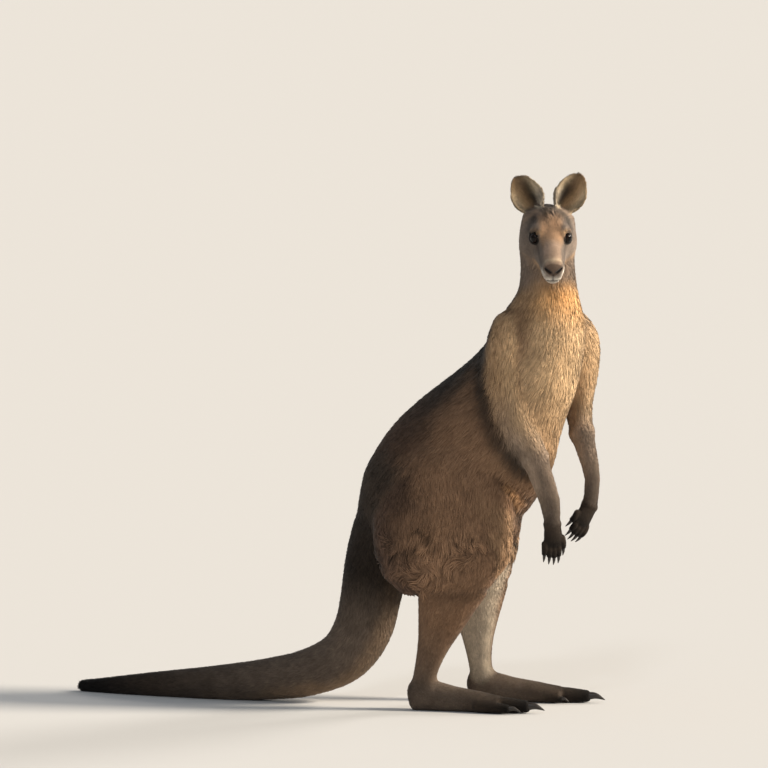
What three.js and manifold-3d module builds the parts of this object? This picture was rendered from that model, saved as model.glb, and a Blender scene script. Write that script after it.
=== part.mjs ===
import * as THREE from "three";
import Module from "manifold-3d";

// An adult eastern grey kangaroo, life size, standing upright on its hind feet and tail.
// Millimetres, +Z up. The hindquarters face -Y, the animal's left is +X. The trunk twists to the
// right as it rises, and the head looks out over the right flank.
// The floor is Z = 0. The group is moved at the end, so that the origin is the centre of its base.

const wasm = await Module();
wasm.setup();

// ---- Driving dimensions ----
const GAP = 0.4; // clearance between neighbouring solids
const EYE_RADIUS = 14.5;
const EYE_AT = [35, 16, 3]; // eye centre in the head's axes: left, forward, up
const HEAD_TURN = -75; // degrees about Z, to the animal's right
const HEAD_DROP = 27; // degrees that the muzzle points below the horizon
const HEAD_CENTRE = [-55.5, -254.7, 1142]; // midway between the eyes
const EAR_AT = [29, -50, 32]; // middle of the ear's root in the head's axes
const EAR_LENGTHS = { right: 105, left: 109 };
const EAR_HALF_WIDTH = 38;
const EAR_DEPTH = 26;
const EAR_THICKNESS = 6;
const EAR_SPLAYS = { right: 30, left: 27 }; // degrees that an ear leans outward
const EAR_LEAN = 8; // and back
const CHEST_TURN = -42;
const CHEST_AT = [0, -225]; // origin of the arms' axes, on the chest's middle line
const HAND_CLAW_LENGTH = 20;
const TOE_CLAW_LENGTHS = { fourth: 46, fifth: 32, second: 20 };
const FAR_KNEE_BACK = 30; // the left knee is this far behind the right one
const FAR_FOOT_FORWARD = 105; // and the left foot this far ahead of the right one

// ---- Small vector helpers ----
const vec = (p) => new THREE.Vector3(p[0], p[1], p[2]);
const UP = vec([0, 0, 1]);
const radians = THREE.MathUtils.degToRad;
const turned = (v, degrees) => v.clone().applyAxisAngle(UP, radians(degrees));

// Uniform Catmull-Rom through rows of numbers, at t in stations.
function spline(rows, t) {
  const last = rows.length - 1;
  const i = Math.min(Math.floor(t), last - 1);
  const f = t - i;
  const [a, b, c, d] = [rows[Math.max(i - 1, 0)], rows[i], rows[i + 1], rows[Math.min(i + 2, last)]];
  return b.map((_, k) => {
    const slope0 = (c[k] - a[k]) / 2;
    const slope1 = (d[k] - b[k]) / 2;
    const rise = c[k] - b[k];
    return b[k] + f * (slope0 + f * (3 * rise - 2 * slope0 - slope1 + f * (slope0 + slope1 - 2 * rise)));
  });
}

// ---- Shapes as fields: negative inside, about a distance in millimetres ----

// A body swept along a spine. A station is [x, y, z, half width, dorsal half, ventral half, turn].
// hint points to the dorsal side, and turn swings it about Z in degrees. caps are the two ends' depths.
function sweep(stations, hint, caps, perStation = 3) {
  const rows = stations.map((s) => [...s, s.length < 7 ? 0 : []].flat());
  const count = (rows.length - 1) * perStation;
  const samples = [];
  for (let i = 0; i <= count; i++) {
    const [x, y, z, wide, dorsal, ventral, turn] = spline(rows, i / perStation);
    samples.push({ centre: vec([x, y, z]), wide, dorsal, ventral, hint: turned(vec(hint), turn) });
  }
  samples.forEach((s, i) => {
    const before = samples[Math.max(i - 1, 0)].centre;
    const after = samples[Math.min(i + 1, count)].centre;
    s.along = after.clone().sub(before).normalize();
    s.up = s.hint.clone().addScaledVector(s.along, -s.hint.dot(s.along)).normalize();
    s.side = new THREE.Vector3().crossVectors(s.along, s.up);
  });
  const q = new THREE.Vector3();
  const run = new THREE.Vector3();
  function field(p) {
    let best = Infinity;
    let at = 0;
    let share = 0;
    for (let i = 0; i < count; i++) {
      run.subVectors(samples[i + 1].centre, samples[i].centre);
      const t = THREE.MathUtils.clamp(q.subVectors(p, samples[i].centre).dot(run) / run.lengthSq(), 0, 1);
      const far = q.addScaledVector(run, -t).lengthSq();
      if (far < best) [best, at, share] = [far, i, t];
    }
    const [a, b] = [samples[at], samples[at + 1]];
    const mix = (key) => a[key] + (b[key] - a[key]) * share;
    const blend = (key) => a[key].clone().lerp(b[key], share);
    q.subVectors(p, blend("centre"));
    const side = q.dot(blend("side"));
    const up = q.dot(blend("up"));
    const along = q.dot(blend("along"));
    const cap = along < 0 ? caps[0] : caps[1];
    const m = Math.hypot(side / mix("wide"), up / mix(up > 0 ? "dorsal" : "ventral"), along / cap);
    return m < 1e-6 ? -mix("wide") : q.length() * (1 - 1 / m);
  }
  return { samples, caps, field };
}

// An ellipsoid with its half sizes along the axes of a frame.
function blob(centre, halves, axes = [vec([1, 0, 0]), vec([0, 1, 0]), vec([0, 0, 1])]) {
  const q = new THREE.Vector3();
  return (p) => {
    q.subVectors(p, centre);
    const m = Math.hypot(...axes.map((axis, k) => q.dot(axis) / halves[k]));
    return m < 1e-6 ? -Math.min(...halves) : q.length() * (1 - 1 / m);
  };
}

function melt(fields, reach) {
  return (p) =>
    fields.reduce((whole, f) => {
      const d = f(p);
      const h = Math.max(reach - Math.abs(whole - d), 0) / reach;
      return Math.min(whole, d) - (h * h * reach) / 4;
    }, 1e6);
}

const grown = (field, by) => (p) => field(p) - by;

// ---- Solids ----

// A closed solid from points and triangles, turned right side out if need be.
function solidOf(points, triangles) {
  const build = (faces) =>
    new wasm.Manifold(
      new wasm.Mesh({
        numProp: 3,
        vertProperties: new Float32Array(points.flatMap((p) => [p.x, p.y, p.z])),
        triVerts: new Uint32Array(faces.flat()),
      }),
    );
  const made = build(triangles);
  return made.volume() > 0 ? made : build(triangles.map(([a, b, c]) => [a, c, b]));
}

function geometryOf(solid) {
  const mesh = solid.getMesh();
  const geometry = new THREE.BufferGeometry();
  geometry.setAttribute("position", new THREE.BufferAttribute(mesh.vertProperties, 3));
  geometry.setIndex(new THREE.BufferAttribute(mesh.triVerts, 1));
  geometry.computeVertexNormals();
  return geometry;
}

// How far the field's surface lies from a point inside it, along a direction.
function reachOf(field, from, direction, most) {
  const p = new THREE.Vector3();
  const at = (r) => field(p.copy(from).addScaledVector(direction, r));
  const stride = most / 28;
  let out = stride;
  while (out < most && at(out) < 0) out += stride;
  let inside = out - stride;
  for (let k = 0; k < 14; k++) {
    const middle = (inside + out) / 2;
    if (at(middle) < 0) inside = middle;
    else out = middle;
  }
  return Math.max(inside, 0.3);
}

// A closed loft: rings are cast from the spine's samples out to the field's surface.
// A rounded end has short rings past the last sample, and a cut end is flat, half a gap short.
function cast(field, spine, sides, options = {}) {
  const { from = 0, to = spine.samples.length - 1, round = [1, 1], every = 1, capTurns = [68, 38] } = options;
  const rings = [];
  const ringAt = (s, shift) => ({ ...s, centre: s.centre.clone().addScaledVector(s.along, shift) });
  const [first, last] = [spine.samples[from], spine.samples[to]];
  const capRing = (s, cap, angle) => rings.push(ringAt(s, cap * Math.sin(radians(angle))));
  if (round[0]) capTurns.forEach((angle) => capRing(first, -spine.caps[0], angle));
  for (let i = from; i <= to; i++) {
    if (i !== to && (i - from) % every) continue;
    const shift = i === from && !round[0] ? GAP / 2 : i === to && !round[1] ? -GAP / 2 : 0;
    rings.push(ringAt(spine.samples[i], shift));
  }
  if (round[1]) [...capTurns].reverse().forEach((angle) => capRing(last, spine.caps[1], angle));
  const points = [];
  for (const ring of rings) {
    const most = 2.2 * Math.max(ring.wide, ring.dorsal, ring.ventral);
    for (let k = 0; k < sides; k++) {
      const angle = (2 * Math.PI * k) / sides;
      const out = ring.side.clone().multiplyScalar(Math.cos(angle)).addScaledVector(ring.up, Math.sin(angle));
      points.push(ring.centre.clone().addScaledVector(out, reachOf(field, ring.centre, out, most)));
    }
  }
  const tip = (ring, way, isRound, cap) => {
    const out = ring.along.clone().multiplyScalar(way);
    return ring.centre.clone().addScaledVector(out, isRound ? reachOf(field, ring.centre, out, cap) : 0);
  };
  points.push(tip(rings[0], -1, round[0], spine.caps[0]), tip(rings.at(-1), 1, round[1], spine.caps[1]));
  const [start, end] = [points.length - 2, points.length - 1];
  const triangles = [];
  for (let k = 0; k < sides; k++) {
    const next = (k + 1) % sides;
    triangles.push([start, next, k]);
    for (let r = 0; r < rings.length - 1; r++) {
      const [a, b, c, d] = [r * sides + k, r * sides + next, (r + 1) * sides + next, (r + 1) * sides + k];
      triangles.push([a, b, c], [a, c, d]);
    }
    const rim = (rings.length - 1) * sides;
    triangles.push([end, rim + k, rim + next]);
  }
  return solidOf(points, triangles);
}

const largest = (solid) => solid.decompose().reduce((a, b) => (a.volume() > b.volume() ? a : b));
const without = (solid, ...others) => largest(others.reduce((left, other) => left.subtract(other), solid));

function boxSolid(size, centre) {
  const corners = new THREE.BoxGeometry(...size).getAttribute("position");
  const seen = new Map();
  const points = [];
  const index = [];
  for (let i = 0; i < corners.count; i++) {
    const p = new THREE.Vector3().fromBufferAttribute(corners, i);
    const key = p.toArray().join();
    if (!seen.has(key)) {
      seen.set(key, points.length);
      points.push(p.clone().add(centre));
    }
    index.push(seen.get(key));
  }
  const faces = Array.from(new THREE.BoxGeometry(...size).getIndex().array, (i) => index[i]);
  return solidOf(points, Array.from({ length: faces.length / 3 }, (_, i) => faces.slice(3 * i, 3 * i + 3)));
}

const floor = boxSolid([3000, 3000, 400], vec([0, 0, -200]));

function ballSolid(centre, radius, rings, sides) {
  const points = [];
  const triangles = [];
  for (let r = 1; r < rings; r++) {
    for (let k = 0; k < sides; k++) {
      const polar = (Math.PI * r) / rings;
      const around = (2 * Math.PI * k) / sides;
      points.push(new THREE.Vector3().setFromSphericalCoords(radius, polar, around).add(centre));
    }
  }
  points.push(centre.clone().add(vec([0, radius, 0])), centre.clone().add(vec([0, -radius, 0])));
  const [north, south] = [points.length - 2, points.length - 1];
  for (let k = 0; k < sides; k++) {
    const next = (k + 1) % sides;
    triangles.push([north, k, next], [south, (rings - 2) * sides + next, (rings - 2) * sides + k]);
    for (let r = 0; r < rings - 2; r++) {
      const [a, b] = [r * sides + k, r * sides + next];
      triangles.push([a, a + sides, b + sides], [a, b + sides, b]);
    }
  }
  return solidOf(points, triangles);
}

// A finger or toe and its claw, along one bent line: rows of [x, y, z, radius].
// The flesh ends flat at the given row, and the claw goes on from there, narrower by a pared rim.
function digit(rows, nailRow, sides, hint, pared) {
  const spine = sweep(rows.map(([x, y, z, r]) => [x, y, z, r, r, r]), hint, [rows[0][3], rows.at(-1)[3]], 1);
  const flesh = cast(spine.field, spine, sides, { to: nailRow, round: [1, 0], capTurns: [48] });
  const claw = cast(grown(spine.field, -pared), spine, sides, { from: nailRow, round: [0, 1], capTurns: [] });
  return { flesh, claw };
}

// ---- The body's parts ----

// Trunk and neck are one sweep, from the seat to the back of the skull.
const trunk = sweep(
  [
    [0, 85, 372, 98, 118, 120, 0],
    [0, 62, 415, 128, 170, 150, 0],
    [0, 28, 480, 144, 204, 207, -4],
    [0, -12, 560, 148, 200, 202, -9],
    [0, -66, 640, 134, 182, 206, -15],
    [0, -112, 705, 120, 160, 203, -22],
    [0, -155, 765, 112, 142, 173, -29],
    [0, -192, 825, 110, 128, 152, -36],
    [0, -218, 885, 104, 118, 130, -42],
    [0, -232, 945, 94, 104, 108, -47],
    [2, -238, 1003, 72, 78, 86, -53],
    [2, -238, 1060, 66, 71, 70, -60],
    [0, -236, 1118, 66, 72, 60, -68],
    [-4, -240, 1184, 63, 54, 46, -75],
  ],
  [0, 1, 0],
  [70, 24],
);
const WAIST = 4 * 3; // the samples where the trunk and neck are cut
const COLLAR = 10 * 3;

const tail = sweep(
  [
    [0, 112, 505, 84, 90, 84],
    [0, 148, 430, 86, 90, 88],
    [0, 178, 345, 78, 82, 80],
    [0, 195, 260, 72, 76, 74],
    [0, 216, 180, 67, 72, 72],
    [0, 264, 112, 61, 66, 66],
    [2, 350, 74, 54, 56, 60],
    [6, 455, 56, 48, 47, 52],
    [16, 565, 43, 42, 41, 45],
    [32, 675, 35, 34, 33, 37],
    [54, 785, 27, 26, 25, 29],
    [78, 880, 20, 18, 17, 22],
    [94, 940, 16, 11, 12, 18],
  ],
  [0, 1, 1],
  [60, 14],
);

// Legs, as rows of [x, y, z, half width, rear half, front half], x being outward.
// The left leg's rows are shifted, as its knee and foot are set differently from the right one's.
const { clamp, lerp } = THREE.MathUtils;
const thighShift = (z) => FAR_KNEE_BACK * clamp((600 - z) / 220, 0, 1);
const shankShift = (z) => lerp(-FAR_FOOT_FORWARD, FAR_KNEE_BACK, clamp((z - 60) / 345, 0, 1));
const placed = (stations, side, shift) =>
  stations.map(([x, y, z, ...rest]) => [x * side, side > 0 ? y + shift(z) : y, z, ...rest]);
const placedFoot = (stations, side) =>
  stations.map(([x, y, ...rest]) => [x * side, side > 0 ? y - FAR_FOOT_FORWARD : y, ...rest]);

const THIGH = [
  [84, 5, 600, 58, 75, 70],
  [93, -2, 540, 75, 130, 130],
  [101, -8, 480, 78, 158, 160],
  [105, -4, 425, 77, 168, 172],
  [107, 0, 375, 74, 160, 165],
  [106, 0, 330, 67, 140, 148],
  [104, -4, 304, 54, 108, 120],
];
const SHANK = [
  [114, -90, 400, 52, 60, 62],
  [115, -72, 340, 56, 84, 66],
  [114, -38, 281, 54, 100, 62],
  [111, -12, 225, 46, 74, 52],
  [107, 14, 160, 33, 46, 36],
  [105, 32, 105, 26, 34, 27],
  [104, 45, 58, 25, 30, 27],
];
const FOOT = [
  [104, 66, 30, 24, 33, 32],
  [104, 30, 36, 28, 38, 38],
  [106, -30, 29, 29, 31, 31],
  [109, -90, 25, 31, 25, 27],
  [113, -138, 20, 33, 19, 22],
];
const TOES = {
  fourth: [[113, -120, 20, 20], [116, -165, 18, 19], [119, -208, 16, 15]],
  fifth: [[134, -95, 18, 14], [141, -135, 15, 13], [147, -168, 13, 10]],
  second: [[92, -100, 18, 10], [88, -130, 14, 9], [87, -150, 11, 7]],
};

// Arms, in the chest's axes: rows of [left, forward, up, half width, rear half, front half].
const UPPER_ARM = {
  right: [
    [-76, -18, 928, 46, 58, 46],
    [-94, -8, 868, 56, 66, 58],
    [-106, 6, 785, 48, 60, 58],
    [-112, 38, 705, 42, 52, 50],
    [-101, 80, 645, 36, 41, 39],
    [-95, 98, 612, 31, 32, 32],
  ],
  left: [
    [80, -8, 930, 48, 48, 46],
    [107, -6, 880, 63, 60, 56],
    [112, -2, 808, 50, 56, 54],
    [105, 6, 742, 36, 46, 44],
    [99, 20, 697, 32, 36, 35],
    [93, 36, 662, 29, 30, 30],
  ],
};
const FOREARM = {
  right: [
    [-95, 98, 612, 31, 32, 32],
    [-89, 114, 570, 29, 29, 29],
    [-76, 130, 512, 26, 25, 25],
    [-72, 135, 458, 20, 18, 18],
  ],
  left: [
    [93, 36, 662, 29, 30, 30],
    [91, 60, 615, 25, 25, 25],
    [86, 87, 555, 20, 19, 19],
    [65, 104, 492, 20, 18, 18],
  ],
};
const HANDS = {
  right: { at: [-72, 135, 458], down: [0.02, 0.06, -1], back: [-0.35, 1, 0.1] },
  left: { at: [65, 104, 492], down: [-0.68, -0.05, -0.92], back: [0.3, 0.9, 0.35] },
};
const PALM_LENGTH = 50;
const FINGERS = [-22, -10.5, 0, 10.5, 21.5]; // spread of the knuckles across the palm, thumb first
const FINGER_LENGTHS = [22, 28, 31, 29, 23];

// The head, in its own axes: rows of [left, forward, up, half width, top half, bottom half].
const HEAD = [
  [0, -84, -6, 46, 44, 52],
  [0, -54, -13, 58, 57, 68],
  [0, -18, -18, 63, 56, 69],
  [0, 10, -21, 55, 50, 62],
  [0, 30, -23, 43, 45, 56],
  [0, 50, -25, 37, 41, 51],
  [0, 76, -28, 32, 35, 48],
  [0, 100, -30, 29, 28, 44],
  [0, 113, -31, 25, 22, 40],
];

// ---- Frames ----
const headLevel = turned(vec([0, -1, 0]), HEAD_TURN);
const headLeft = turned(vec([1, 0, 0]), HEAD_TURN);
const dropped = radians(HEAD_DROP);
const tilted = (level, upright) => headLevel.clone().multiplyScalar(level).addScaledVector(UP, upright);
const headForward = tilted(Math.cos(dropped), -Math.sin(dropped));
const headUp = tilted(Math.sin(dropped), Math.cos(dropped));
const alongAxes = ([x, y, z], [left, forward, up]) =>
  left.clone().multiplyScalar(x).addScaledVector(forward, y).addScaledVector(up, z);
const headAxes = [headLeft, headForward, headUp];
const inHead = (p) => alongAxes(p, headAxes).add(vec(HEAD_CENTRE));
const chestForward = turned(vec([0, -1, 0]), CHEST_TURN);
const chestLeft = turned(vec([1, 0, 0]), CHEST_TURN);
const alongChest = (p) => alongAxes(p, [chestLeft, chestForward, UP]);
const inChest = (p) => alongChest(p).add(vec([...CHEST_AT, 0]));
const rowsIn = (place, rows) => rows.map(([a, b, c, ...rest]) => [...place([a, b, c]).toArray(), ...rest]);

const pieces = {};

// ---- Trunk and tail ----
const abdomen = cast(trunk.field, trunk, 22, { to: WAIST, round: [1, 0], every: 3 });
pieces.chest = cast(trunk.field, trunk, 22, { from: WAIST, to: COLLAR, round: [0, 0], every: 3 });
pieces.neck = cast(trunk.field, trunk, 14, { from: COLLAR, round: [0, 1], every: 3 });
pieces.abdomen = abdomen;
const tailParts = { tail_base: [0, 12], tail_middle: [12, 21], tail_tip: [21, 36] };
for (const [name, [from, to]] of Object.entries(tailParts)) {
  const round = [from === 0, to === 36];
  pieces[name] = without(cast(tail.field, tail, 12, { from, to, round, every: 2 }), floor);
}

// ---- Legs ----
function grownSweep(rows, by) {
  return rows.map((s) => [...s.slice(0, 3), ...s.slice(3, 6).map((r) => r + by), ...s.slice(6)]);
}
for (const [name, side] of [["right", -1], ["left", 1]]) {
  const leg = (rows, shift, caps, by = 0) =>
    sweep(placed(grownSweep(rows, by), side, shift), [0, 1, 0.2], caps.map((c) => c + by), 2);
  const thigh = leg(THIGH, thighShift, [24, 12]);
  const fatThigh = leg(THIGH, thighShift, [24, 12], GAP);
  const thighSolid = cast(thigh.field, thigh, 18, { every: 2 });
  const thighRoom = cast(fatThigh.field, fatThigh, 18, { every: 2 });
  const shank = leg(SHANK, shankShift, [20, 24]);
  const fatShank = leg(SHANK, shankShift, [20, 24], GAP);
  const foot = sweep(placedFoot(FOOT, side), [0, 0, 1], [18, 14], 2);
  let footSolid = cast(foot.field, foot, 10, { every: 2 });
  const shankSolid = cast(shank.field, shank, 10, { every: 2 });
  const shankRoom = cast(fatShank.field, fatShank, 10, { every: 2 });
  pieces[`thigh_${name}`] = thighSolid;
  pieces[`shank_${name}`] = without(shankSolid, thighRoom);
  for (const [toe, rows] of Object.entries(TOES)) {
    const line = placedFoot(rows, side);
    const [x, y, z, r] = line.at(-1);
    const long = TOE_CLAW_LENGTHS[toe];
    const nail = [
      [x, y - long * 0.5, z + 1, r * 0.82],
      [x, y - long, z * 0.5, r * 0.32 + 1],
    ];
    const { flesh, claw } = digit([...line, ...nail], line.length - 1, 6, [0, 0.3, 1], r * 0.32);
    footSolid = footSolid.add(flesh);
    pieces[`claw_${toe}_toe_${name}`] = claw;
  }
  pieces[`foot_${name}`] = without(footSolid, shankRoom, floor);
  pieces.abdomen = without(pieces.abdomen, thighRoom, shankRoom);
  pieces.tail_base = without(pieces.tail_base, thighRoom);
}
const abdomenRoom = cast(grown(trunk.field, GAP), trunk, 22, { to: WAIST, round: [1, 0], every: 3 });
pieces.tail_base = without(pieces.tail_base, abdomenRoom);

// ---- Arms ----
for (const side of ["right", "left"]) {
  const hint = chestForward.clone().multiplyScalar(-1).toArray();
  const limb = (rows, by, caps) => sweep(rowsIn(inChest, grownSweep(rows, by)), hint, caps, 2);
  const upper = limb(UPPER_ARM[side], 0, [34, 20]);
  const upperRoom = limb(UPPER_ARM[side], GAP, [34 + GAP, 20 + GAP]);
  const lower = limb(FOREARM[side], 0, [20, 10]);
  const lowerRoom = limb(FOREARM[side], GAP, [20 + GAP, 10 + GAP]);
  const upperSolid = cast(upper.field, upper, 10, { every: 2 });
  const room = cast(upperRoom.field, upperRoom, 10, { every: 2 });
  pieces[`upper_arm_${side}`] = upperSolid;
  const lowerSolid = cast(lower.field, lower, 8, { round: [1, 0], every: 2, capTurns: [48] });
  pieces[`forearm_${side}`] = without(lowerSolid, room);
  const forearmRoom = cast(lowerRoom.field, lowerRoom, 8, { every: 2, capTurns: [48] });
  pieces.chest = without(pieces.chest, room, forearmRoom);
  const { at, down, back } = HANDS[side];
  const wrist = inChest(at);
  const reach = alongChest(down).normalize();
  const face = alongChest(back);
  face.addScaledVector(reach, -face.dot(reach)).normalize();
  const across = new THREE.Vector3().crossVectors(reach, face).multiplyScalar(side === "right" ? 1 : -1);
  const spot = (...p) => alongAxes(p, [reach, across, face]).add(wrist).toArray();
  const palmRows = [
    [...spot(0, 0, 0), 20, 17, 17],
    [...spot(18, 0, 1), 23, 15, 15],
    [...spot(PALM_LENGTH * 0.8, 0, 2), 25, 13, 13],
    [...spot(PALM_LENGTH, 0, 2), 23, 11, 11],
  ];
  const palm = sweep(palmRows, face.toArray(), [8, 8], 1);
  let hand = cast(palm.field, palm, 8, { round: [0, 1], capTurns: [48] });
  FINGERS.forEach((wide, i) => {
    const start = i === 0 ? PALM_LENGTH - 16 : PALM_LENGTH - 4;
    const long = FINGER_LENGTHS[i];
    const end = start + long;
    const rows = [
      [...spot(start, wide, 1), 8.5],
      [...spot(start + long * 0.55, wide * 1.06, 3), 8],
      [...spot(end, wide * 1.1, 0), 6.6],
      [...spot(end + HAND_CLAW_LENGTH * 0.5, wide * 1.13, -2), 5.8],
      [...spot(end + HAND_CLAW_LENGTH, wide * 1.13, -8), 3.4],
    ];
    const { flesh, claw } = digit(rows, 2, 5, face.toArray(), 2.4);
    hand = hand.add(flesh);
    pieces[`claw_hand_${side}_${i + 1}`] = claw;
  });
  pieces[`hand_${side}`] = without(hand, forearmRoom);
}

// ---- Head ----
const skull = sweep(rowsIn(inHead, HEAD), headUp.toArray(), [34, 12], 2);
const pairOf = ([left, forward, up], halves) =>
  [-1, 1].map((s) => blob(inHead([left * s, forward, up]), halves, headAxes));
const headField = melt(
  [
    skull.field,
    ...pairOf([31, 4, 16], [17, 20, 13]),
    ...pairOf([38, -22, -34], [26, 34, 36]),
    blob(inHead([0, 114, -15]), [20, 12, 13], headAxes),
  ],
  16,
);
const headSolid = cast(headField, skull, 16, {});
const headRoom = cast(grown(headField, GAP), skull, 16, {});
const neckRoom = cast(grown(trunk.field, GAP), trunk, 14, { from: COLLAR, round: [0, 1], every: 3 });
const eyeRooms = [];
for (const [name, side] of [["right", -1], ["left", 1]]) {
  const centre = inHead([EYE_AT[0] * side, EYE_AT[1], EYE_AT[2]]);
  pieces[`eye_${name}`] = ballSolid(centre, EYE_RADIUS, 7, 10);
  eyeRooms.push(ballSolid(centre, EYE_RADIUS + GAP, 7, 10));

  // The ear is a cupped leaf. Its rows run from root to tip, and each one is a closed loop of points.
  const root = inHead([EAR_AT[0] * side, EAR_AT[1], EAR_AT[2]]);
  const splay = radians(EAR_SPLAYS[name]) * side;
  const long = UP.clone().multiplyScalar(Math.cos(splay)).addScaledVector(headLeft, Math.sin(splay));
  long.addScaledVector(headLevel, -Math.sin(radians(EAR_LEAN))).normalize();
  const opening = headLevel.clone().addScaledVector(headLeft, 0.12 * side);
  opening.addScaledVector(long, -opening.dot(long)).normalize();
  const across = new THREE.Vector3().crossVectors(long, opening);
  const WIDTHS = [0.42, 0.62, 0.84, 0.98, 1, 0.96, 0.84, 0.6, 0.22];
  const DEPTHS = [1, 1.05, 1, 0.85, 0.66, 0.48, 0.34, 0.22, 0.08];
  const columns = 6;
  const points = [];
  const rows = WIDTHS.length;
  for (let r = 0; r < rows; r++) {
    const along = (EAR_LENGTHS[name] * r) / (rows - 1);
    const half = EAR_HALF_WIDTH * WIDTHS[r];
    const deep = EAR_DEPTH * DEPTHS[r];
    for (const outer of [0, 1]) {
      for (let c = 0; c < columns; c++) {
        const t = ((outer ? columns - 1 - c : c) / (columns - 1)) * 2 - 1;
        const slope = radians(80) * t;
        const thick = outer * EAR_THICKNESS;
        const wide = (half + thick * 0.4) * Math.sin(slope);
        const out = -(deep + thick) * Math.cos(slope) + (outer ? 0 : 1.5);
        points.push(alongAxes([along, wide, out], [long, across, opening]).add(root));
      }
    }
  }
  const loop = columns * 2;
  const triangles = [];
  for (let r = 0; r < rows - 1; r++) {
    for (let k = 0; k < loop; k++) {
      const next = (k + 1) % loop;
      const [a, b, c, d] = [r * loop + k, r * loop + next, (r + 1) * loop + next, (r + 1) * loop + k];
      triangles.push([a, b, c], [a, c, d]);
    }
  }
  for (let c = 0; c < columns - 1; c++) {
    for (const [base, flip] of [[0, true], [(rows - 1) * loop, false]]) {
      const [a, b, e, f] = [base + c, base + c + 1, base + loop - 1 - c, base + loop - 2 - c];
      triangles.push(...(flip ? [[a, f, b], [a, e, f]] : [[a, b, f], [a, f, e]]));
    }
  }
  pieces[`ear_${name}`] = without(solidOf(points, triangles), headRoom, neckRoom);
}
pieces.head = without(headSolid, ...eyeRooms);
pieces.neck = without(pieces.neck, headRoom);

// ---- Assembly ----
const COLOURS = {
  eye: 0x1a1009,
  claw: 0x1b1815,
  hand: 0x2e2823,
  foot: 0x4a4036,
  tail: 0x5a4c40,
  ear: 0x7d6c5c,
};
const root = new THREE.Group();
for (const [name, solid] of Object.entries(pieces)) {
  const colour = COLOURS[name.split("_")[0]] ?? 0x8a7460;
  const material = new THREE.MeshStandardMaterial({ color: colour, roughness: 0.9 });
  const mesh = new THREE.Mesh(geometryOf(solid), material);
  mesh.name = name;
  root.add(mesh);
}
const middle = new THREE.Box3().setFromObject(root).getCenter(new THREE.Vector3());
root.position.set(-middle.x, -middle.y, 0);

export default root;
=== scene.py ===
from math import ceil, cos, pi, radians, sin

import bmesh
import bpy
import numpy as np
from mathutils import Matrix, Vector, kdtree


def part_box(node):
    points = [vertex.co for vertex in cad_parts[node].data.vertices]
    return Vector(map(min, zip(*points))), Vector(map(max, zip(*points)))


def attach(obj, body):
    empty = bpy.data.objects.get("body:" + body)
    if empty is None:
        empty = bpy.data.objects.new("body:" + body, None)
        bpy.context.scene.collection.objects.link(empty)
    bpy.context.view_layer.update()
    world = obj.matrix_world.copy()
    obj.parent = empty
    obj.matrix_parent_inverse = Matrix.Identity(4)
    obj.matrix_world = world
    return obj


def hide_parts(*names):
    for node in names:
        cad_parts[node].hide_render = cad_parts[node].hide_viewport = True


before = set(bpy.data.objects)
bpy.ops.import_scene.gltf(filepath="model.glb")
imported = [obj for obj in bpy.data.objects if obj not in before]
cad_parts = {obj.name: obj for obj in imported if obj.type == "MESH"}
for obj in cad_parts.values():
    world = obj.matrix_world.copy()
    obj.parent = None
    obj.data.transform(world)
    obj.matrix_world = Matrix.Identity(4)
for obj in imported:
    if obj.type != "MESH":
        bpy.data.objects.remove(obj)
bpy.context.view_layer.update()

# An eastern grey kangaroo, life size: one skin over the whole body, eyes, claws, and a coat of mesh tufts.
# Lengths are millimetres in the animal's own axes until a mesh is made. Its hindquarters face -Y, its
# left is +X, and the floor is Z = 0. The names and numbers of the body's forms are those of the solids.

RNG = np.random.default_rng(7)
MM = 0.001
FAR = 1e4                        # farther than any form reaches

# ---- the body's forms
HEAD_TURN, HEAD_DROP = -75.0, 27.0
HEAD_CENTRE = np.array([-55.5, -254.7, 1142.0])
EYE_RADIUS = 14.5
EYE_AT = (35.0, 16.0, 3.0)
EAR_AT = (29.0, -50.0, 32.0)
EAR_LENGTHS, EAR_SPLAYS = {"right": 105.0, "left": 109.0}, {"right": 30.0, "left": 27.0}
EAR_HALF_WIDTH, EAR_DEPTH, EAR_LEAN = 38.0, 26.0, 8.0
CHEST_TURN = -42.0
CHEST_AT = np.array([0.0, -225.0, 0.0])
FAR_KNEE_BACK, FAR_FOOT_FORWARD = 30.0, 105.0
TOE_CLAW_LENGTHS = {"fourth": 46, "fifth": 32, "second": 20}
HAND_CLAW_LENGTH = 20.0

# Rows: x, y, z, half width, upper or rear half, lower or front half, turn in degrees
TRUNK = [
    [0, 85, 372, 98, 118, 120, 0], [0, 62, 415, 128, 170, 150, 0], [0, 28, 480, 144, 204, 207, -4],
    [0, -12, 560, 148, 200, 202, -9], [0, -66, 640, 134, 182, 206, -15], [0, -112, 705, 120, 160, 203, -22],
    [0, -155, 765, 112, 142, 173, -29], [0, -192, 825, 110, 128, 152, -36],
    [0, -218, 885, 104, 118, 130, -42],
    [0, -232, 945, 94, 104, 108, -47], [2, -238, 1003, 72, 78, 86, -53], [2, -238, 1060, 66, 71, 70, -60],
    [0, -236, 1118, 66, 72, 60, -68], [-4, -240, 1184, 63, 54, 46, -75],
]
TAIL = [
    [0, 112, 505, 84, 90, 84], [0, 148, 430, 86, 90, 88], [0, 178, 345, 78, 82, 80],
    [0, 195, 260, 72, 76, 74],
    [0, 216, 180, 67, 72, 72], [0, 264, 112, 61, 66, 66], [2, 350, 74, 54, 56, 60], [6, 455, 56, 48, 47, 52],
    [16, 565, 43, 42, 41, 45], [32, 675, 35, 34, 33, 37], [54, 785, 27, 26, 25, 29],
    [78, 880, 20, 18, 17, 22],
    [94, 940, 16, 11, 12, 18],
]
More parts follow.
